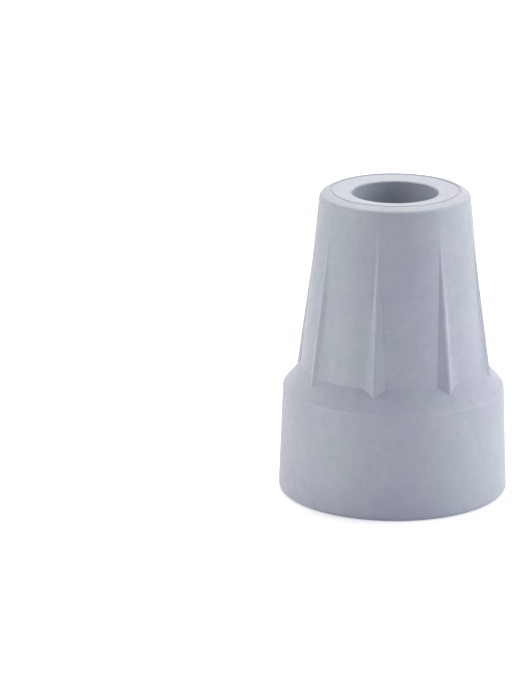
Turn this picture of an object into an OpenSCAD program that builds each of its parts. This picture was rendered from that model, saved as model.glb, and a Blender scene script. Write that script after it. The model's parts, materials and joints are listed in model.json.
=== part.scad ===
// Rubber tip for a walking cane, moulded in one piece.
// Frame: +Z up, the axis of the tip is Z, and the tread stands on z = 0.
// The middle of a gap between two raised pads faces -Y.

/* [Overall] */
// Height of the tip, from the tread to the top of the rim
tip_h = 57.4; // [48:0.1:70]
// Diameter of the foot at the tread, before its edge is rounded
foot_d = 42.8; // [36:0.1:52]

/* [Foot] */
// Height of the foot, from the tread to its upper edge
foot_h = 20.1; // [15:0.1:26]
// How far the side of the foot leans in, from the tread to its upper edge
foot_lean = 0.75; // [0:0.05:1.5]
// Rounding of the edge round the tread
foot_edge_r = 0.9; // [0.3:0.1:1.5]
// Rounding of the foot's upper edge
foot_top_r = 0.5; // [0.2:0.1:1]

/* [Shoulder] */
// Width of the shoulder, from the foot's upper edge in to the barrel
shoulder_w = 3.45; // [2:0.05:4]
// Rise of the shoulder for each millimetre that it runs inwards
shoulder_rise = 1.13; // [0.8:0.01:1.6]

/* [Socket] */
// Diameter of the socket for the shaft, a press fit
socket_d = 16; // [12:0.1:20]
// Depth of the socket under its mouth
socket_depth = 40; // [32:0.5:42]

/* [Barrel] */
// Thickness of the barrel's wall at the rim
rim_w = 5.9; // [3.5:0.05:7]
// Rounding of the rim's outer edge
rim_r = 1.6; // [0.4:0.1:1.9]
// Width of the level top of the lip that stands round the rim, inside that rounding
lip_w = 0.3; // [0.1:0.1:0.6]
// Height of the lip above the dished top that it surrounds
lip_h = 0.2; // [0.1:0.05:0.3]
// Distance from the top of the lip down to the mouth of the socket
mouth_dip = 0.4; // [0.3:0.05:1]

/* [Pads] */
// Number of flat-faced pads raised round the barrel
pad_count = 4; // [3:1:5]
// Angle that one pad takes up round the barrel, from crest to crest
pad_angle = 44.4; // [36:0.1:50]
// Height of a pad's crests above the barrel where it meets the shoulder
pad_relief = 1.1; // [0.6:0.05:1.5]
// Distance from the rim down to where the crests begin
pad_drop = 4.4; // [2.6:0.1:12]
// Angle between the wall beside a pad and the barrel's skin
wall_angle = 32; // [28:1:50]

/* [Tread] */
// Width of the land that the tip stands on, out to the side of the foot
land_w = 5.1; // [3:0.1:6]
// Width of the groove inside the land
outer_groove_w = 3.2; // [2.6:0.1:3.8]
// Width of the ring between the two grooves
ring_w = 3.8; // [2.5:0.1:4.6]
// Width of the groove between the ring and the disc in the middle
inner_groove_w = 3.0; // [2.4:0.1:3.6]
// How far the ring's face stands back from the land
ring_set_back = 1.1; // [0:0.1:1.4]
// How far the disc's face stands back from the land
disc_set_back = 2.5; // [1.2:0.1:3]
// Depth of the outer groove under the land
outer_groove_depth = 4.2; // [3:0.1:5.5]
// Depth of the inner groove under the land
inner_groove_depth = 4.7; // [4.2:0.1:5.5]
// Rounding at the bottom of both grooves
groove_floor_r = 1.1; // [0.6:0.1:1.2]

/* [Hidden] */
$fn = 128;

// Cuts run this far past the faces that they open
past = 1;
// Side of a block that is larger than the tip
block = 2 * max(tip_h, foot_d);

foot_rad = foot_d / 2;
foot_top_rad = foot_rad - foot_lean;
socket_r = socket_d / 2;
mouth_h = tip_h - mouth_dip;

// The barrel is a plain cone from the shoulder's inner edge up to the rim
barrel_foot = [foot_top_rad - shoulder_w, foot_h + shoulder_w * shoulder_rise];
barrel_rim = [socket_r + rim_w, tip_h];
lip_in_r = barrel_rim.x - rim_r - lip_w;
function barrel_rad(z) =
    barrel_rim.x + (barrel_foot.x - barrel_rim.x) * (barrel_rim.y - z) / (barrel_rim.y - barrel_foot.y);

// Both crests of a pad lean out from under the barrel's skin
crest_foot = barrel_foot + [pad_relief, 0];
crest_top = [barrel_rad(tip_h - pad_drop), tip_h - pad_drop];
crest_slope = (crest_foot.x - crest_top.x) / (crest_top.y - crest_foot.y);

// The face of a pad is the plane through its two crests
face_rad = crest_foot.x * cos(pad_angle / 2);
face_slope = crest_slope * cos(pad_angle / 2);

// Edges of the tread's grooves, counted inwards from the side of the foot
land_in_r = foot_rad - land_w;
ring_out_r = land_in_r - outer_groove_w;
ring_in_r = ring_out_r - ring_w;
disc_r = ring_in_r - inner_groove_w;

function unit(v) = v / norm(v);

// What rounding the corner b, between a and c, takes off a flat outline
module corner_waste(a, b, c, r) {
    to_a = unit(a - b);
    to_c = unit(c - b);
    half_angle = acos(to_a * to_c) / 2;
    inwards = unit(to_a + to_c);
    middle = b + inwards * r / sin(half_angle);
    start = b + to_a * r / tan(half_angle);
    end = b + to_c * r / tan(half_angle);
    difference() {
        polygon([middle, start, start + unit(start - middle) * past, b - inwards * past * 2,
                 end + unit(end - middle) * past, end]);
        translate(middle) circle(r);
    }
}

// Half section of the foot, whose shoulder runs on inwards under the barrel
module foot_outline() {
    low = [foot_rad, 0];
    high = [foot_top_rad, foot_h];
    inner = [socket_r, foot_h + (foot_top_rad - socket_r) * shoulder_rise];
    difference() {
        polygon([[0, 0], low, high, inner, [0, inner.y]]);
        corner_waste([0, 0], low, high, foot_edge_r);
        corner_waste(low, high, inner, foot_top_r);
    }
}

// Half section of the barrel, down to the level of the foot's upper edge
module barrel_outline() {
    low = [barrel_rad(foot_h), foot_h];
    lip = [lip_in_r, tip_h];
    difference() {
        polygon([[0, foot_h], low, barrel_rim, lip, lip - [lip_h, lip_h], [socket_r, mouth_h],
                 [0, mouth_h]]);
        corner_waste(low, barrel_rim, lip, rim_r);
    }
}

// All that lies behind a plane facing the angle turn round the axis, which
// passes rad from the axis at the barrel's foot and leans in by slope
module behind(rad, slope, turn = 0) {
    translate([rad, 0, barrel_foot.y]) rotate([0, -atan(slope), 0])
        rotate([0, 0, turn]) translate([-block, -block / 2, -block / 2]) cube(block);
}

// One pad on the +X side, rooted in the barrel and in the shoulder
module pad() {
    root_w = 2 * barrel_rim.x * sin(60);
    intersection() {
        translate([0, -root_w / 2, foot_h]) cube([block, root_w, tip_h - rim_r - foot_h]);
        behind(face_rad, face_slope);
        rotate([0, 0, pad_angle / 2]) behind(crest_foot.x, crest_slope, wall_angle);
        rotate([0, 0, -pad_angle / 2]) behind(crest_foot.x, crest_slope, -wall_angle);
    }
}

module barrel() {
    rotate_extrude() barrel_outline();
    for (i = [0 : pad_count - 1]) rotate([0, 0, -90 + (i + 0.5) * 360 / pad_count]) pad();
}

// Section of one groove: an upright inner wall, a leaning outer wall and a round floor
module groove_outline(in_r, out_r, depth) {
    floor_y = depth - groove_floor_r;
    polygon([[in_r, -past], [out_r, -past], [out_r, 0],
             [in_r + 2 * groove_floor_r, floor_y], [in_r, floor_y]]);
    translate([in_r + groove_floor_r, floor_y]) circle(groove_floor_r);
}

// Half section of all that the tread leaves open, with the ring and the disc set back
module tread_outline() {
    translate([0, -past]) square([ring_out_r + past, ring_set_back + past]);
    translate([0, -past]) square([ring_in_r + past, disc_set_back + past]);
    groove_outline(ring_out_r, land_in_r, outer_groove_depth);
    groove_outline(disc_r, ring_in_r, inner_groove_depth);
}

module cane_tip() {
    color("#a9adb8") difference() {
        union() {
            rotate_extrude() foot_outline();
            barrel();
        }
        translate([0, 0, mouth_h - socket_depth]) cylinder(h = socket_depth + past, r = socket_r);
        rotate_extrude() tread_outline();
    }
}

cane_tip();
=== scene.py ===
"""Rubber tip for a walking cane, built as one moulded piece and set in a plain pale studio."""

import json
import logging
import math
from collections.abc import Callable, Iterator
from contextlib import contextmanager
from dataclasses import dataclass, field
from enum import Enum

import bpy
from mathutils import Matrix, Vector, noise

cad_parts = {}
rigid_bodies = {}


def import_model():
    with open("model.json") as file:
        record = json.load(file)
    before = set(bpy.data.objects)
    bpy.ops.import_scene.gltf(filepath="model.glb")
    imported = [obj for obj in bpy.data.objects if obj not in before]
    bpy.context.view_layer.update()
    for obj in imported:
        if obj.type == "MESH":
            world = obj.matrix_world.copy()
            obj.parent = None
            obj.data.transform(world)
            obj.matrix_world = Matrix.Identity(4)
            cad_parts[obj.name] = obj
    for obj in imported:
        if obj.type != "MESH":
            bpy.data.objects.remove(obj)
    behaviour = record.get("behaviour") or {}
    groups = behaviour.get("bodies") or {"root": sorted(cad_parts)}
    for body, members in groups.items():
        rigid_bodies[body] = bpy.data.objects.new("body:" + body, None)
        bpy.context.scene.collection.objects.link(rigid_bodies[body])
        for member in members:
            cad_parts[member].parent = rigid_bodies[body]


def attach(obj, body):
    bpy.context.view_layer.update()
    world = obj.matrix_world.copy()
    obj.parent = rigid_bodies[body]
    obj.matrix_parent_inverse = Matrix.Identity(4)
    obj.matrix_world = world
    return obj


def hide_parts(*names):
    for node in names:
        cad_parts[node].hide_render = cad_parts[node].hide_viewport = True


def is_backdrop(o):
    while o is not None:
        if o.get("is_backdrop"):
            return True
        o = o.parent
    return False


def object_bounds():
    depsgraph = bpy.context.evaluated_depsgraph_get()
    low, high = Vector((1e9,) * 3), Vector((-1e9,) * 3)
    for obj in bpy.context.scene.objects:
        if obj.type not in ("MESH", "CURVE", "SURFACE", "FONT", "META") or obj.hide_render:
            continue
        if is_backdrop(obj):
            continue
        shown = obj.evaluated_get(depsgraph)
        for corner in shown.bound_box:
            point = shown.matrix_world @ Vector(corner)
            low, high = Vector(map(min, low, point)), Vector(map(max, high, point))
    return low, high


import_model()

LOG = logging.getLogger("cane_tip")
# A millimetre in metres.
MM = 0.001
# Two places closer than this, in metres, count as one.
TOUCH = 1e-6
# The bevel profile of a round edge.
ARC = 0.5
# The vertex mark that sets the painted highlight along the crests and the foot's upper edge.
PAINTED_HIGHLIGHT = "painted_highlight"
WHITE = (1.0, 1.0, 1.0, 1.0)

Colour = tuple[float, float, float]
Span = tuple[float, float]
Test = Callable[[Vector], bool]


class Part(Enum):
    """The parts of a mesh that can be picked out."""

    POINTS = "VERT"
    EDGES = "EDGE"


class Hand(Enum):
    """The two sides of a pad, as seen from outside with the socket up."""

    LEFT = -1
    RIGHT = 1


class Workbench:
    """Picks things out by place and switches in and out of edit mode."""

    @staticmethod
    def clear() -> None:
        """Deselects every object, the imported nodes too."""
        for thing in bpy.context.view_layer.objects:
            thing.select_set(False)

    @staticmethod
    def hold(piece: bpy.types.Object) -> None:
        """Makes one piece the only selected one, and the active one.

        Args:
            piece: The piece to work on.
        """
        Workbench.clear()
        piece.select_set(True)
        bpy.context.view_layer.objects.active = piece

    @staticmethod
    @contextmanager
    def edit(piece: bpy.types.Object, part: Part = Part.POINTS) -> Iterator[None]:
        """Opens a piece in edit mode for as long as the block lasts.

        Args:
            piece: The piece to work on.
            part: What is selected in it.

        Yields:
            Nothing; edit mode is open inside the block.
        """
        Workbench.hold(piece)
        bpy.ops.object.mode_set(mode="EDIT")
        bpy.ops.mesh.select_mode(type=part.value)
        try:
            yield
        finally:
            bpy.ops.object.mode_set(mode="OBJECT")

    @staticmethod
    def pick(piece: bpy.types.Object, test: Test, part: Part = Part.POINTS) -> None:
        """Selects the vertices or edges whose place passes a test, and nothing else.

        Args:
            piece: The piece, in object mode.
            test: Tells whether a vertex, or each end of an edge, is wanted.
            part: What is picked.
        """
        mesh = piece.data
        for group in (mesh.vertices, mesh.edges, mesh.polygons):
            for item in group:
                item.select = False
        if part is Part.POINTS:
            for vertex in mesh.vertices:
                vertex.select = test(vertex.co)
        else:
            for edge in mesh.edges:
                edge.select = all(test(mesh.vertices[i].co) for i in edge.vertices)

    @staticmethod
    def freeze(piece: bpy.types.Object) -> None:
        """Moves a new primitive's place, turn and size into its mesh."""
        Workbench.hold(piece)
        bpy.ops.object.transform_apply(location=True, rotation=True, scale=True)

    @staticmethod
    def heal(piece: bpy.types.Object) -> None:
        """Welds doubled vertices and turns every face outwards.

        Args:
            piece: The closed piece to heal.
        """
        with Workbench.edit(piece):
            bpy.ops.mesh.select_all(action="SELECT")
            bpy.ops.mesh.remove_doubles(threshold=TOUCH)
            bpy.ops.mesh.normals_make_consistent(inside=False)

    @staticmethod
    def apply(piece: bpy.types.Object, kind: str, **settings: object) -> None:
        """Puts one modifier on a piece and applies it.

        Args:
            piece: The piece that takes the modifier.
            kind: The modifier's type, such as BOOLEAN.
            **settings: The modifier's settings by name.
        """
        Workbench.hold(piece)
        modifier = piece.modifiers.new(kind.title(), kind)
        for name, value in settings.items():
            setattr(modifier, name, value)
        bpy.ops.object.modifier_apply(modifier=modifier.name)


def clamp(value: float) -> float:
    """Keeps a value between 0 and 1."""
    return min(1.0, max(0.0, value))


@dataclass(frozen=True)
class Corner:
    """A corner of the turned outline, in millimetres.

    Attributes:
        out: Distance from the axis.
        up: Height over the floor.
        round: Radius of the rounding at the corner, 0 for none.
        steps: How many flats the rounding has.
    """

    out: float
    up: float
    round: float = 0.0
    steps: int = 4

    @property
    def place(self) -> Vector:
        """The corner in metres, on the plane y = 0."""
        return Vector((self.out, 0, self.up)) * MM


@dataclass(frozen=True)
class Plane:
    """A plane to cut with or to measure from.

    Attributes:
        point: A point on the plane, in metres.
        normal: The plane's normal.
    """

    point: Vector
    normal: Vector

    def over(self, place: Vector) -> float:
        """How far a place lies in front of the plane, in metres, for a normal of length 1."""
        return (place - self.point).dot(self.normal)


@dataclass
class Tread:
    """The rings and grooves that the tip stands on, in millimetres.

    Attributes:
        disc_r: Radius of the disc in the middle.
        inner_groove_r: Outer radius of the inner groove.
        ring_r: Outer radius of the ring.
        land_r: Inner radius of the land that touches the floor.
        disc_lift: How far the disc stands back from the floor.
        ring_lift: How far the ring stands back from the floor.
        inner_depth: Height of the inner groove's floor.
        outer_depth: Height of the outer groove's floor.
        floor_r: Rounding in a groove's floor under its upright wall.
        lean_share: Rounding under a groove's leaning wall, as a share of floor_r.
        edge_r: Rounding of the edges of the disc, ring and land.
        sprue_r: Radius of the small mark in the middle of the disc.
        sprue_h: Depth of the mark.
        sprue_floor_r: Rounding in the mark's floor.
        sprue_lean: How far the mark's wall leans, and the rounding of its edge.
    """

    disc_r: float = 6.3
    inner_groove_r: float = 9.3
    ring_r: float = 13.1
    land_r: float = 16.3
    disc_lift: float = 2.5
    ring_lift: float = 1.1
    inner_depth: float = 4.7
    outer_depth: float = 4.2
    floor_r: float = 1.1
    lean_share: float = 0.9
    edge_r: float = 0.3
    sprue_r: float = 0.55
    sprue_h: float = 0.18
    sprue_floor_r: float = 0.12
    sprue_lean: float = 0.1

    def corners(self) -> list[Corner]:
        """Gives the outline from the middle of the disc out to the land.

        Returns:
            The corners in order.
        """
        sprue_up = self.disc_lift - self.sprue_h
        return [
            Corner(0, sprue_up),
            Corner(self.sprue_r, sprue_up, self.sprue_floor_r),
            Corner(self.sprue_r + self.sprue_lean, self.disc_lift, self.sprue_lean),
            Corner(self.disc_r, self.disc_lift, self.edge_r),
            *self._groove_floor(self.disc_r, self.inner_depth),
            Corner(self.inner_groove_r, self.ring_lift, self.edge_r),
            Corner(self.ring_r, self.ring_lift, self.edge_r),
            *self._groove_floor(self.ring_r, self.outer_depth),
            Corner(self.land_r, 0, self.edge_r),
        ]

    def _groove_floor(self, start: float, up: float) -> list[Corner]:
        """Gives the two corners of a groove's floor.

        Args:
            start: Radius of the groove's upright wall.
            up: Height of its floor.

        Returns:
            The corner under the upright wall and the one under the leaning wall.
        """
        end = start + 2 * self.floor_r
        return [
            Corner(start, up, self.floor_r, steps=6),
            Corner(end, up, self.floor_r * self.lean_share, steps=6),
        ]


@dataclass
class Foot:
    """The wide foot and the shoulder over it, in millimetres.

    Attributes:
        bottom_r: Radius at the floor, before the edge is rounded.
        top_r: Radius at the upper edge.
        height: Height of the upper edge.
        edge_r: Rounding of the lower edge.
        top_edge_r: Rounding of the upper edge.
        top_edge_highlight: Most painted highlight on the upper edge, where 1 is as light as a
            crest.
        highlight_level: Painted highlight halfway between a patch and the gap beside it, as a
            share of the most.
        highlight_reach: How far the painted highlight reaches from the edge, as a share of its
            rounding.
        highlight_patch: Size of the patches of the painted highlight, in metres.
    """

    bottom_r: float = 21.4
    top_r: float = 20.65
    height: float = 20.1
    edge_r: float = 0.9
    top_edge_r: float = 1.0
    # Painted highlight along the foot's upper edge, in patches.
    top_edge_highlight: float = 0.65
    highlight_level: float = 0.55
    highlight_reach: float = 0.38
    highlight_patch: float = 0.009

    def corners(self) -> list[Corner]:
        """Gives the outline of the foot's side.

        Returns:
            The corners in order, from the tread up.
        """
        return [
            Corner(self.bottom_r, 0, self.edge_r, steps=8),
            Corner(self.top_r, self.height, self.top_edge_r, steps=6),
        ]

    def painted_edge_highlight(self, place: Vector) -> float:
        """Tells how much painted highlight a place on the foot's upper edge takes.

        Args:
            place: The place to judge, in metres.

        Returns:
            The painted highlight in the middle of the edge's rounding, stronger in patches,
            falling to 0 where the rounding runs out.
        """
        # Painted highlight: lighter along the middle of the upper edge's rounding, patchy.
        out = math.hypot(place.x, place.y) / MM
        away = math.hypot(out - self.top_r, place.z / MM - self.height)
        patch = clamp(self.highlight_level + noise.noise(place / self.highlight_patch))
        return self.top_edge_highlight * patch * clamp(1 - away / (self.highlight_reach * self.top_edge_r))


@dataclass
class Barrel:
    """The tapered barrel, its rim and the socket in it, in millimetres.

    A sloping band runs round the top, and a fine groove parts it from the dished middle.

    Attributes:
        foot_r: Radius at the barrel's foot.
        foot_up: Height of the barrel's foot.
        rim_r: Radius that the skin would have at the top without the band.
        height: Height of the top.
        fillet_r: Rounding between the shoulder and the barrel.
        band_in: Radius at which the band begins.
        band_fall: How far the band falls for each millimetre outwards.
        band_r: Rounding of the band into the side.
        band_edge_r: Rounding where the band begins.
        lip_in: Radius of the groove's outer edge.
        lip_edge_r: Rounding of the groove's outer edge.
        line_w: Width of the groove.
        line_depth: Depth of the groove.
        line_lean: How far each wall of the groove leans.
        line_floor_r: Rounding in the groove's floor.
        dish_under: How far under the top the dished middle begins.
        dish_edge_r: Rounding where the dished middle begins.
        mouth_dip: How far under the top the socket's mouth lies.
        mouth_round: Rounding of the socket's mouth.
        socket_r: Radius of the socket.
        socket_depth: Depth of the socket under its mouth.
        socket_floor_r: Rounding round the socket's floor.
    """

    foot_r: float = 17.2
    foot_up: float = 24.0
    rim_r: float = 13.9
    height: float = 57.4
    fillet_r: float = 0.6
    band_in: float = 12.42
    band_fall: float = 0.48
    band_r: float = 1.0
    band_edge_r: float = 0.3
    lip_in: float = 12.2
    lip_edge_r: float = 0.12
    line_w: float = 0.7
    line_depth: float = 0.27
    line_lean: float = 0.15
    line_floor_r: float = 0.06
    dish_under: float = 0.02
    dish_edge_r: float = 0.1
    mouth_dip: float = 0.4
    mouth_round: float = 0.35
    socket_r: float = 8.0
    socket_depth: float = 40.0
    socket_floor_r: float = 0.8

    @property
    def spread(self) -> float:
        """How much wider the barrel is at its foot than at the top."""
        return self.foot_r - self.rim_r

    @property
    def rise(self) -> float:
        """How far the top is over the barrel's foot."""
        return self.height - self.foot_up

    def skin(self, up: float) -> float:
        """Distance from the axis to the barrel's skin at a height."""
        return self.rim_r + self.spread * (self.height - up) / self.rise

    def corners(self) -> list[Corner]:
        """Gives the outline of the barrel and of the socket down to the axis.

        Returns:
            The corners in order, from the shoulder over the rim to the socket's floor.
        """
        taper = self.spread / self.rise
        band_h = self.band_fall * (self.rim_r - self.band_in) / (1 - self.band_fall * taper)
        band_up = self.height - band_h
        line_up = self.height - self.line_depth
        line_in = self.lip_in - self.line_w
        mouth_up = self.height - self.mouth_dip
        floor_up = mouth_up - self.socket_depth
        return [
            Corner(self.foot_r, self.foot_up, self.fillet_r),
            Corner(self.skin(band_up), band_up, self.band_r, steps=8),
            Corner(self.band_in, self.height, self.band_edge_r, steps=3),
            Corner(self.lip_in, self.height, self.lip_edge_r),
            Corner(self.lip_in - self.line_lean, line_up, self.line_floor_r, steps=3),
            Corner(line_in + self.line_lean, line_up, self.line_floor_r, steps=3),
            Corner(line_in, self.height - self.dish_under, self.dish_edge_r, steps=3),
            Corner(self.socket_r, mouth_up, self.mouth_round, steps=5),
            Corner(self.socket_r, floor_up, self.socket_floor_r),
            Corner(0, floor_up),
        ]


@dataclass
class Pads:
    """The pads raised round the barrel, in millimetres and degrees.

    A pad's face is flat and slightly hollow between two low lips along its crests.

    Attributes:
        count: How many pads there are.
        angle: Angle at the axis between a pad's two crests.
        relief: How far a crest stands over the skin at the barrel's foot.
        drop: How far under the top a crest starts.
        wall_angle: Angle at a crest between the wall's normal and the direction out.
        crest_r: Rounding of a crest.
        crest_steps: How many flats the rounding has.
        crest_slack: How far an end of an edge may lie off a crest and count as on it.
        lip_w: Width of the lip along a crest.
        hollow: How far the face lies back between its lips.
        proud_full: How far a crest stands over the skin where its painted highlight is at full
            strength.
        root: How far a pad reaches down into the foot.
        under_top: How far under the top the block of a pad ends.
        inner: Distance from the axis to the block's inner side.
        outer: Distance from the axis to the block's outer side.
        half_width: Half the block's width.
    """

    count: int = 4
    angle: float = 44.4
    relief: float = 1.1
    drop: float = 4.4
    wall_angle: float = 32.0
    crest_r: float = 0.6
    crest_steps: int = 6
    crest_slack: float = 0.02
    lip_w: float = 1.1
    hollow: float = 0.18
    proud_full: float = 0.3
    root: float = 1.1
    under_top: float = 1.6
    inner: float = 11.0
    outer: float = 22.0
    half_width: float = 9.5

    def solid(self, barrel: Barrel, foot: Foot) -> bpy.types.Object:
        """Cuts one pad out of a block, its middle facing +X, and finishes its face.

        Args:
            barrel: The barrel that the pad stands on.
            foot: The foot that the pad runs down into.

        Returns:
            The pad as a closed piece.
        """
        pad = self._block(foot.height - self.root, barrel.height - self.under_top)
        half = math.radians(self.angle / 2)
        face_out = self.crest(barrel, barrel.foot_up) * math.cos(half)
        facing = Vector((1, 0, self.slope(barrel) * math.cos(half))).normalized()
        face = Plane(Vector((face_out, 0, barrel.foot_up)) * MM, facing)
        self._slice(pad, face)
        lips = [self._cut_wall(pad, barrel, hand, facing) for hand in Hand]
        self._round_crests(pad, barrel)
        self._hollow_face(pad, face, lips)
        Workbench.heal(pad)
        return pad

    def slope(self, barrel: Barrel) -> float:
        """How far a crest leans in for each millimetre that it rises."""
        top_up = barrel.height - self.drop
        return (barrel.foot_r + self.relief - barrel.skin(top_up)) / (top_up - barrel.foot_up)

    def crest(self, barrel: Barrel, up: float) -> float:
        """Distance from the axis to a crest at a height."""
        return barrel.foot_r + self.relief - self.slope(barrel) * (up - barrel.foot_up)

    def reach(self) -> float:
        """Distance from a crest to where its rounding runs out in the face or in the wall."""
        return self.crest_r * math.tan(math.radians(self.angle / 2 + self.wall_angle) / 2)

    def painted_highlight(self, barrel: Barrel, place: Vector) -> float:
        """Tells how strongly a place takes the painted highlight along a crest, by how near it
        is to the crest.

        Args:
            barrel: The barrel that the pads stand on.
            place: The place to judge, in metres.

        Returns:
            The painted highlight's share: 1 on a crest, falling to 0 at the foot of its lip, at
            its wall and where it starts.
        """
        # Painted highlight along the crests: strongest on a crest, fading across its lip and its
        # rounding.
        up = place.z / MM
        if up < barrel.foot_up - self.relief:
            return 0.0
        out = math.hypot(place.x, place.y) / MM
        pitch = 360 / self.count
        off_middle = abs(math.degrees(math.atan2(place.y, place.x)) % pitch - pitch / 2)
        past = math.radians(off_middle - self.angle / 2)
        crest = self.crest(barrel, up)
        away = math.hypot(out * math.cos(past) - crest, out * math.sin(past))
        width = self.reach() if past > 0 else self.lip_w
        return clamp(1 - away / width) * clamp((crest - barrel.skin(up)) / self.proud_full)

    def _block(self, low: float, high: float) -> bpy.types.Object:
        """Adds the block that a pad is cut from.

        Args:
            low: Height of its lower end.
            high: Height of its upper end.

        Returns:
            The block.
        """
        middle = Vector(((self.inner + self.outer) / 2, 0, (low + high) / 2)) * MM
        size = Vector((self.outer - self.inner, 2 * self.half_width, high - low)) * MM
        Workbench.clear()
        bpy.ops.mesh.primitive_cube_add(size=1, location=middle, scale=size)
        block = bpy.context.object
        block.name = "pad"
        Workbench.freeze(block)
        return block

    def _cut_wall(
        self, pad: bpy.types.Object, barrel: Barrel, hand: Hand, facing: Vector
    ) -> Plane:
        """Cuts one wall of a pad through its crest.

        Args:
            pad: The block with its face cut.
            barrel: The barrel that the pad stands on.
            hand: The side of the wall.
            facing: The normal of the pad's face.

        Returns:
            The plane between that side's lip and the hollow of the face, facing the hollow.
        """
        slope = self.slope(barrel)
        turn = Matrix.Rotation(hand.value * math.radians(self.angle / 2), 3, "Z")
        lean = Matrix.Rotation(-math.atan(slope), 3, "Y")
        swing = Matrix.Rotation(hand.value * math.radians(self.wall_angle), 3, "Z")
        crest_out = self.crest(barrel, barrel.foot_up)
        crest = turn @ Vector((crest_out, 0, barrel.foot_up)) * MM
        self._slice(pad, Plane(crest, turn @ lean @ swing @ Vector((1, 0, 0))))
        inwards = facing.cross(turn @ Vector((-slope, 0, 1))).normalized() * hand.value
        return Plane(crest + inwards * self.lip_w * MM, inwards)

    def _round_crests(self, pad: bpy.types.Object, barrel: Barrel) -> None:
        """Rounds the two crests of a pad.

        Args:
            pad: The pad with its face and walls cut.
            barrel: The barrel that the pad stands on.
        """

        def on_crest(place: Vector) -> bool:
            """Tells whether a vertex is on one of the two crests."""
            out = math.hypot(place.x, place.y) / MM
            return abs(out - self.crest(barrel, place.z / MM)) < self.crest_slack

        Workbench.pick(pad, on_crest, Part.EDGES)
        with Workbench.edit(pad, Part.EDGES):
            bpy.ops.mesh.bevel(
                offset=self.reach() * MM, segments=self.crest_steps, profile=ARC, affect="EDGES"
            )

    def _hollow_face(self, pad: bpy.types.Object, face: Plane, lips: list[Plane]) -> None:
        """Sets the face of a pad back between its lips.

        Args:
            pad: The pad with its crests rounded.
            face: The plane of its face.
            lips: The planes between the lips and the hollow.
        """

        def between_lips(place: Vector) -> bool:
            """Tells whether a vertex is on the face and clear of the lips along the crests."""
            on_face = abs(face.over(place)) < TOUCH
            return on_face and all(lip.over(place) > -TOUCH for lip in lips)

        for lip in lips:
            with Workbench.edit(pad):
                bpy.ops.mesh.select_all(action="SELECT")
                bpy.ops.mesh.bisect(plane_co=lip.point, plane_no=lip.normal)
        Workbench.pick(pad, between_lips)
        with Workbench.edit(pad):
            bpy.ops.transform.translate(value=face.normal * -self.hollow * MM)

    @staticmethod
    def _slice(piece: bpy.types.Object, cut: Plane) -> None:
        """Cuts off all of a piece that lies in front of a plane, and closes the cut.

        Args:
            piece: The closed piece to cut.
            cut: The plane, its normal towards what is cut off.
        """
        with Workbench.edit(piece):
            bpy.ops.mesh.select_all(action="SELECT")
            bpy.ops.mesh.bisect(
                plane_co=cut.point, plane_no=cut.normal, use_fill=True, clear_outer=True
            )


@dataclass(frozen=True)
class Pattern:
    """An uneven pattern in the rubber.

    Attributes:
        size: Size of its patches in metres.
        detail: How many finer layers it has.
        rough: How strong each finer layer is beside the one before.
    """

    size: float
    detail: float
    rough: float


@dataclass(frozen=True)
class Unevenness:
    """How strongly a pattern roughens the skin.

    Attributes:
        strength: Share of the height that shows.
        height: Height of the pattern in metres.
    """

    strength: float
    height: float


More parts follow.
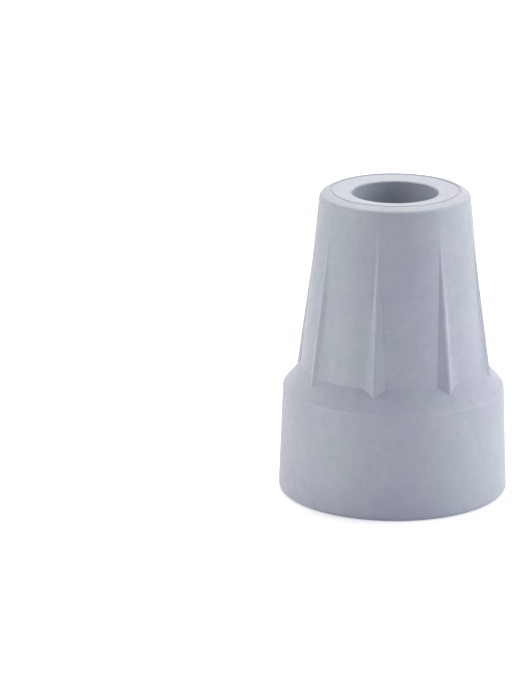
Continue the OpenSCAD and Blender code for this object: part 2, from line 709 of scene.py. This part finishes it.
@dataclass(frozen=True)
class GreyRubber:
    """Matt grey moulding rubber with a faint bloom, uneven in tone and not quite smooth.

    Attributes:
        slot: A material slot name, which is not used.
        base: Colour of the clean rubber.
        dusty: Colour where the bloom is thick.
        green: Colour where the mix leans to green.
        worn: Colour where the skin is rubbed.
        edge: Colour of the painted highlight along the crests and the foot's upper edge.
        roughness: Lowest and highest roughness.
        ior: Index of refraction.
        specular: Strength of the surface's shine.
        sheen: Strength of the soft light at grazing angles.
        sheen_roughness: Width of that light.
        drift: The slow drift in hue.
        cloud: The clouds in the tone, which also swell the skin.
        mottle: The rubbed spots, which also change the roughness.
        grain: The skin's grain.
        green_span: Values of the drift between which the hue turns green.
        bloom_span: Values of the clouds between which the bloom thickens.
        bloom_most: Share of the dusty colour where the bloom is thickest.
        rub_span: Values of the mottle between which the skin gets rubbed.
        rub_most: Share of the worn colour where it is rubbed most.
        painted_highlight_span: Values of the painted highlight mark between which an edge gets
            the painted highlight.
        painted_highlight_most: Share of the edge colour where the painted highlight is
            strongest.
        shine_span: Values of the mottle between which the roughness rises.
        swell: How the clouds roughen the skin.
        skin: How the grain roughens the skin.
    """

    slot: str = "rubber"
    base: Colour = (0.432, 0.443, 0.515)
    dusty: Colour = (0.480, 0.500, 0.560)
    green: Colour = (0.425, 0.462, 0.505)
    worn: Colour = (0.385, 0.400, 0.468)
    # Colour of the painted highlight along the crests and the foot's upper edge.
    edge: Colour = (0.540, 0.560, 0.600)
    roughness: Span = (0.50, 0.66)
    ior: float = 1.5
    specular: float = 0.45
    sheen: float = 0.12
    sheen_roughness: float = 0.55
    drift: Pattern = Pattern(0.016, 1.0, 0.5)
    cloud: Pattern = Pattern(0.0045, 4.0, 0.6)
    mottle: Pattern = Pattern(0.0013, 3.0, 0.6)
    grain: Pattern = Pattern(0.0006, 3.0, 0.6)
    green_span: Span = (0.42, 0.58)
    bloom_span: Span = (0.45, 0.75)
    bloom_most: float = 0.7
    rub_span: Span = (0.50, 0.72)
    rub_most: float = 0.55
    painted_highlight_span: Span = (0.0, 0.8)
    painted_highlight_most: float = 0.8
    shine_span: Span = (0.3, 0.7)
    swell: Unevenness = Unevenness(0.35, 0.00018)
    skin: Unevenness = Unevenness(0.35, 0.00004)

    def material(self) -> bpy.types.Material:
        """Builds the node material.

        Returns:
            The finished material.
        """
        finish = bpy.data.materials.new("grey_rubber")
        finish.use_nodes = True
        tree = finish.node_tree
        shader = tree.nodes["Principled BSDF"]
        shader.inputs["IOR"].default_value = self.ior
        shader.inputs["Specular IOR Level"].default_value = self.specular
        shader.inputs["Sheen Weight"].default_value = self.sheen
        shader.inputs["Sheen Roughness"].default_value = self.sheen_roughness
        place = tree.nodes.new("ShaderNodeTexCoord").outputs["Object"]

        drift = self._noise(tree, place, self.drift)
        clouds = self._noise(tree, place, self.cloud)
        mottle = self._noise(tree, place, self.mottle)
        grain = self._noise(tree, place, self.grain)

        greening = self._range(tree, drift, self.green_span)
        hue = self._mix(tree, greening, (*self.base, 1), (*self.green, 1))
        bloom = self._range(tree, clouds, self.bloom_span, (0.0, self.bloom_most))
        tone = self._mix(tree, bloom, hue, (*self.dusty, 1))
        rubbed = self._range(tree, mottle, self.rub_span, (0.0, self.rub_most))
        skin_tone = self._mix(tree, rubbed, tone, (*self.worn, 1))
        # Painted highlight: the vertex mark lightens the colour along the crests and the foot's
        # upper edge.
        edges = tree.nodes.new("ShaderNodeAttribute")
        edges.attribute_name = PAINTED_HIGHLIGHT
        painted_highlight = self._range(tree, edges.outputs["Fac"], self.painted_highlight_span, (0.0, self.painted_highlight_most))
        colour = self._mix(tree, painted_highlight, skin_tone, (*self.edge, 1))
        tree.links.new(colour, shader.inputs["Base Color"])

        shine = self._range(tree, mottle, self.shine_span, self.roughness)
        tree.links.new(shine, shader.inputs["Roughness"])

        swell = self._bump(tree, clouds, self.swell)
        skin = self._bump(tree, grain, self.skin)
        tree.links.new(swell.outputs["Normal"], skin.inputs["Normal"])
        tree.links.new(skin.outputs["Normal"], shader.inputs["Normal"])
        return finish

    @staticmethod
    def _noise(
        tree: bpy.types.NodeTree, place: bpy.types.NodeSocket, pattern: Pattern
    ) -> bpy.types.NodeSocket:
        """Adds a noise pattern.

        Args:
            tree: The material's nodes.
            place: The coordinates that it follows.
            pattern: Its size and detail.

        Returns:
            Its value, around 0.5.
        """
        node = tree.nodes.new("ShaderNodeTexNoise")
        node.inputs["Scale"].default_value = 1 / pattern.size
        node.inputs["Detail"].default_value = pattern.detail
        node.inputs["Roughness"].default_value = pattern.rough
        tree.links.new(place, node.inputs["Vector"])
        return node.outputs["Fac"]

    @staticmethod
    def _range(
        tree: bpy.types.NodeTree,
        value: bpy.types.NodeSocket,
        source: Span,
        result: Span = (0.0, 1.0),
    ) -> bpy.types.NodeSocket:
        """Adds a node that stretches a value from one range to another.

        Args:
            tree: The material's nodes.
            value: The value to stretch.
            source: The range that it comes in.
            result: The range that it goes out in.

        Returns:
            The stretched value.
        """
        node = tree.nodes.new("ShaderNodeMapRange")
        node.inputs["From Min"].default_value, node.inputs["From Max"].default_value = source
        node.inputs["To Min"].default_value, node.inputs["To Max"].default_value = result
        tree.links.new(value, node.inputs["Value"])
        return node.outputs["Result"]

    @staticmethod
    def _mix(
        tree: bpy.types.NodeTree,
        share: bpy.types.NodeSocket,
        first: bpy.types.NodeSocket | tuple[float, ...],
        second: tuple[float, ...],
    ) -> bpy.types.NodeSocket:
        """Adds a colour mix.

        Args:
            tree: The material's nodes.
            share: Share of the second colour.
            first: The first colour, as a socket or as plain numbers.
            second: The second colour.

        Returns:
            The mixed colour.
        """
        node = tree.nodes.new("ShaderNodeMix")
        node.data_type = "RGBA"
        tree.links.new(share, node.inputs["Factor"])
        sides = {s.name: s for s in node.inputs if s.type == "RGBA"}
        if isinstance(first, tuple):
            sides["A"].default_value = first
        else:
            tree.links.new(first, sides["A"])
        sides["B"].default_value = second
        return next(s for s in node.outputs if s.type == "RGBA")

    @staticmethod
    def _bump(
        tree: bpy.types.NodeTree, value: bpy.types.NodeSocket, amount: Unevenness
    ) -> bpy.types.Node:
        """Adds a bump that follows a pattern.

        Args:
            tree: The material's nodes.
            value: The pattern's value.
            amount: How strong it is.

        Returns:
            The bump node.
        """
        node = tree.nodes.new("ShaderNodeBump")
        node.inputs["Strength"].default_value = amount.strength
        node.inputs["Distance"].default_value = amount.height
        tree.links.new(value, node.inputs["Height"])
        return node


@dataclass
class CaneTip:
    """The whole tip, one moulded piece.

    Attributes:
        tread: The underside.
        foot: The wide foot.
        barrel: The barrel with its rim and socket.
        pads: The raised pads.
        finish: The rubber.
        spin_steps: How many flats go round the turned body.
        smooth_angle: Degrees between two faces from which the edge stays sharp.
        flat_weight: How much the large faces set the shading of the small ones beside them.
    """

    tread: Tread = field(default_factory=Tread)
    foot: Foot = field(default_factory=Foot)
    barrel: Barrel = field(default_factory=Barrel)
    pads: Pads = field(default_factory=Pads)
    finish: GreyRubber = field(default_factory=GreyRubber)
    spin_steps: int = 192
    smooth_angle: float = 24.0
    flat_weight: int = 50

    def build(self) -> bpy.types.Object:
        """Builds, joins and dresses the tip, and lets it stand for its CAD node.

        Returns:
            The finished piece.
        """
        tip = self.turned()
        for index in range(self.pads.count):
            pad = self.pads.solid(self.barrel, self.foot)
            pad.data.transform(Matrix.Rotation(self.pad_turn(index), 4, "Z"))
            Workbench.apply(tip, "BOOLEAN", object=pad, operation="UNION", solver="EXACT")
            bpy.data.objects.remove(pad)
        Workbench.heal(tip)
        self.paint_highlights(tip)
        self.shade(tip)
        tip.data.materials.clear()
        tip.data.materials.append(self.finish.material())
        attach(tip, "root")
        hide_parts("cane_tip")
        return tip

    def pad_turn(self, index: int) -> float:
        """Turn of a pad round the axis; the first stands between the right and the front."""
        return math.tau * (index + 0.5) / self.pads.count - math.pi / 2

    def turned(self) -> bpy.types.Object:
        """Draws the half section corner by corner, rounds its corners and spins it.

        Returns:
            The turned body without the pads.
        """
        corners = self.tread.corners() + self.foot.corners() + self.barrel.corners()
        Workbench.clear()
        bpy.ops.mesh.primitive_plane_add(size=MM, location=corners[0].place)
        body = bpy.context.object
        body.name = "moulded_tip"
        with Workbench.edit(body):
            bpy.ops.mesh.select_all(action="SELECT")
            bpy.ops.mesh.merge(type="CENTER")
        Workbench.freeze(body)
        with Workbench.edit(body):
            bpy.ops.mesh.select_all(action="SELECT")
            for before, after in zip(corners, corners[1:]):
                step = after.place - before.place
                bpy.ops.mesh.extrude_vertices_move(TRANSFORM_OT_translate={"value": step})
        for before, corner, after in zip(corners, corners[1:], corners[2:]):
            if corner.round:
                self._round(body, before, corner, after)
        with Workbench.edit(body):
            bpy.ops.mesh.select_all(action="SELECT")
            bpy.ops.mesh.spin(
                steps=self.spin_steps, angle=math.tau, center=(0, 0, 0), axis=(0, 0, 1)
            )
        Workbench.heal(body)
        return body

    @staticmethod
    def _round(body: bpy.types.Object, before: Corner, corner: Corner, after: Corner) -> None:
        """Rounds one corner of the drawn outline to its radius.

        Args:
            body: The outline, a chain of edges.
            before: The corner before it.
            corner: The corner to round.
            after: The corner after it.
        """
        back = (before.place - corner.place).normalized()
        ahead = (after.place - corner.place).normalized()
        reach = corner.round * MM / math.tan(back.angle(ahead) / 2)
        Workbench.pick(body, lambda place: (place - corner.place).length < TOUCH)
        with Workbench.edit(body):
            bpy.ops.mesh.bevel(
                offset=reach, segments=corner.steps, profile=ARC, affect="VERTICES"
            )

    def paint_highlights(self, tip: bpy.types.Object) -> None:
        """Writes on each vertex how much painted highlight it takes along a crest or the foot's
        upper edge, for the finish.

        Args:
            tip: The joined piece.
        """
        marks = tip.data.attributes.new(PAINTED_HIGHLIGHT, "FLOAT", "POINT")
        for vertex, mark in zip(tip.data.vertices, marks.data):
            # Painted highlight along the crests and the foot's upper edge.
            mark.value = max(self.pads.painted_highlight(self.barrel, vertex.co), self.foot.painted_edge_highlight(vertex.co))

    def shade(self, tip: bpy.types.Object) -> None:
        """Smooths the shading except over sharp edges, and keeps the flats flat.

        Args:
            tip: The joined piece.
        """
        Workbench.hold(tip)
        bpy.ops.object.shade_smooth_by_angle(angle=math.radians(self.smooth_angle))
        Workbench.apply(tip, "WEIGHTED_NORMAL", keep_sharp=True, weight=self.flat_weight)


@dataclass(frozen=True)
class Lamp:
    """A soft box that faces the tip.

    Attributes:
        name: What the lamp is.
        around: Degrees round the tip from the camera, to the right.
        rise: Degrees over the floor.
        reach: Distance from the tip in metres.
        size: Width and height of the box in metres.
        power: Power in watts.
        colour: Colour of the light.
    """

    name: str
    around: float
    rise: float
    reach: float
    size: Span
    power: float
    colour: Colour


@dataclass
class Studio:
    """The pale floor and backdrop, the soft boxes and the even light of the room.

    Attributes:
        camera_turn: Degrees that the camera is turned, from which the lamps are placed.
        half_width: Half the floor's width in metres.
        floor_colour: Colour of the floor's paint.
        floor_roughness: Roughness of the paint.
        floor_specular: Strength of the paint's shine.
        floor_glow: Light that the floor adds where it is seen.
        backdrop: Brightness behind the floor.
        ambient: Strength of the even light on the tip.
        ambient_colour: Colour of the even light.
        lamps: The soft boxes.
    """

    camera_turn: float
    half_width: float = 6.0
    floor_colour: Colour = (0.9, 0.9, 0.9)
    floor_roughness: float = 0.9
    floor_specular: float = 0.1
    floor_glow: float = 0.45
    backdrop: float = 1.0
    ambient: float = 0.15
    ambient_colour: Colour = (0.97, 1.0, 1.6)
    lamps: tuple[Lamp, ...] = (
        Lamp("right_box", 86, 18, 0.60, (0.45, 0.60), 2.95, (0.98, 1.0, 0.99)),
        Lamp("left_box", -75, 18, 0.60, (0.35, 0.60), 1.9, (0.98, 1.0, 0.89)),
        Lamp("back_box", 178, 65, 0.60, (0.55, 0.40), 3.7, (1.0, 0.967, 0.86)),
    )

    def build(self, aim: Vector) -> None:
        """Sets up the room round the tip.

        Args:
            aim: The point that the lamps face.
        """
        self._floor()
        self._room_light()
        for lamp in self.lamps:
            self._lamp(lamp, aim)

    def _floor(self) -> None:
        """Lays a wide pale floor that keeps the tip's soft shadow."""
        Workbench.clear()
        bpy.ops.mesh.primitive_plane_add(size=2 * self.half_width, location=(0, 0, 0))
        floor = bpy.context.object
        floor.name = "floor"
        paint = bpy.data.materials.new("pale_floor")
        paint.use_nodes = True
        tree = paint.node_tree
        shader = tree.nodes["Principled BSDF"]
        shader.inputs["Base Color"].default_value = (*self.floor_colour, 1)
        shader.inputs["Roughness"].default_value = self.floor_roughness
        shader.inputs["Specular IOR Level"].default_value = self.floor_specular
        shader.inputs["Emission Color"].default_value = WHITE
        glow = tree.nodes.new("ShaderNodeMath")
        glow.operation = "MULTIPLY"
        glow.inputs[1].default_value = self.floor_glow
        tree.links.new(self._seen_rays(tree), glow.inputs[0])
        tree.links.new(glow.outputs["Value"], shader.inputs["Emission Strength"])
        floor.data.materials.append(paint)
        floor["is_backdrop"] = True

    def _room_light(self) -> None:
        """Fills the room with even light and shows white behind the floor."""
        world = bpy.data.worlds.new("room")
        bpy.context.scene.world = world
        world.use_nodes = True
        tree = world.node_tree
        soft = tree.nodes["Background"]
        soft.inputs["Color"].default_value = (*self.ambient_colour, 1)
        soft.inputs["Strength"].default_value = self.ambient
        white = tree.nodes.new("ShaderNodeBackground")
        white.inputs["Color"].default_value = WHITE
        white.inputs["Strength"].default_value = self.backdrop
        choice = tree.nodes.new("ShaderNodeMixShader")
        tree.links.new(self._seen_rays(tree), choice.inputs["Fac"])
        tree.links.new(soft.outputs["Background"], choice.inputs[1])
        tree.links.new(white.outputs["Background"], choice.inputs[2])
        tree.links.new(choice.outputs["Shader"], tree.nodes["World Output"].inputs["Surface"])

    @staticmethod
    def _seen_rays(tree: bpy.types.NodeTree) -> bpy.types.NodeSocket:
        """Adds nodes that part the rays that show the backdrop from those that light the tip.

        Args:
            tree: The nodes of the floor's paint or of the room.

        Returns:
            1 on camera, glossy and transmission rays, and 0 on the others.
        """
        rays = tree.nodes.new("ShaderNodeLightPath").outputs
        seen = rays["Is Camera Ray"]
        for kind in ("Is Glossy Ray", "Is Transmission Ray"):
            either = tree.nodes.new("ShaderNodeMath")
            either.operation = "MAXIMUM"
            tree.links.new(seen, either.inputs[0])
            tree.links.new(rays[kind], either.inputs[1])
            seen = either.outputs["Value"]
        return seen

    def _lamp(self, lamp: Lamp, aim: Vector) -> None:
        """Hangs one soft box.

        Args:
            lamp: Its place, size and power.
            aim: The point that it faces.
        """
        data = bpy.data.lights.new(lamp.name, "AREA")
        data.shape = "RECTANGLE"
        data.size, data.size_y = lamp.size
        data.energy = lamp.power
        data.color = lamp.colour
        box = bpy.data.objects.new(lamp.name, data)
        bpy.context.scene.collection.objects.link(box)
        turn = math.radians(lamp.around + self.camera_turn)
        rise = math.radians(lamp.rise)
        level = math.cos(rise)
        away = Vector((math.sin(turn) * level, -math.cos(turn) * level, math.sin(rise)))
        box.location = aim + away * lamp.reach
        box.rotation_euler = away.to_track_quat("Z", "Y").to_euler()


@dataclass
class Viewpoint:
    """The camera, far off and a little above the tip.

    Attributes:
        place: Where it stands, in metres.
        tilt: Degrees that it is tilted up from looking straight down.
        turn: Degrees that it is turned round the upright, from looking along +Y.
        lens: Focal length in millimetres.
        sensor: Width of the sensor in millimetres.
        near: Nearest distance that it shows, in metres.
    """

    place: tuple[float, float, float] = (-0.15143, -0.72062, 0.2499)
    tilt: float = 73.2
    turn: float = -9.9
    lens: float = 215.8
    sensor: float = 36.0
    near: float = 0.01

    def build(self) -> None:
        """Sets up the camera and makes it the scene's camera."""
        data = bpy.data.cameras.new("camera")
        data.lens = self.lens
        data.sensor_width = self.sensor
        data.clip_start = self.near
        camera = bpy.data.objects.new("camera", data)
        bpy.context.scene.collection.objects.link(camera)
        camera.location = self.place
        camera.rotation_euler = (math.radians(self.tilt), 0, math.radians(self.turn))
        bpy.context.scene.camera = camera


def main() -> None:
    """Builds the tip, the studio and the camera, and logs the tip's vertex and face counts."""
    logging.basicConfig(level=logging.INFO, format="%(name)s: %(message)s")
    cad_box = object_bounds()
    tip = CaneTip().build()
    points, faces = len(tip.data.vertices), len(tip.data.polygons)
    LOG.info("%s rides on the root: %d vertices, %d faces", tip.name, points, faces)
    low, high = cad_box
    viewpoint = Viewpoint()
    Studio(camera_turn=viewpoint.turn).build((low + high) / 2)
    viewpoint.build()
    bpy.context.scene.view_settings.view_transform = "Standard"
    bpy.context.view_layer.update()


if __name__ == "__main__":
    main()
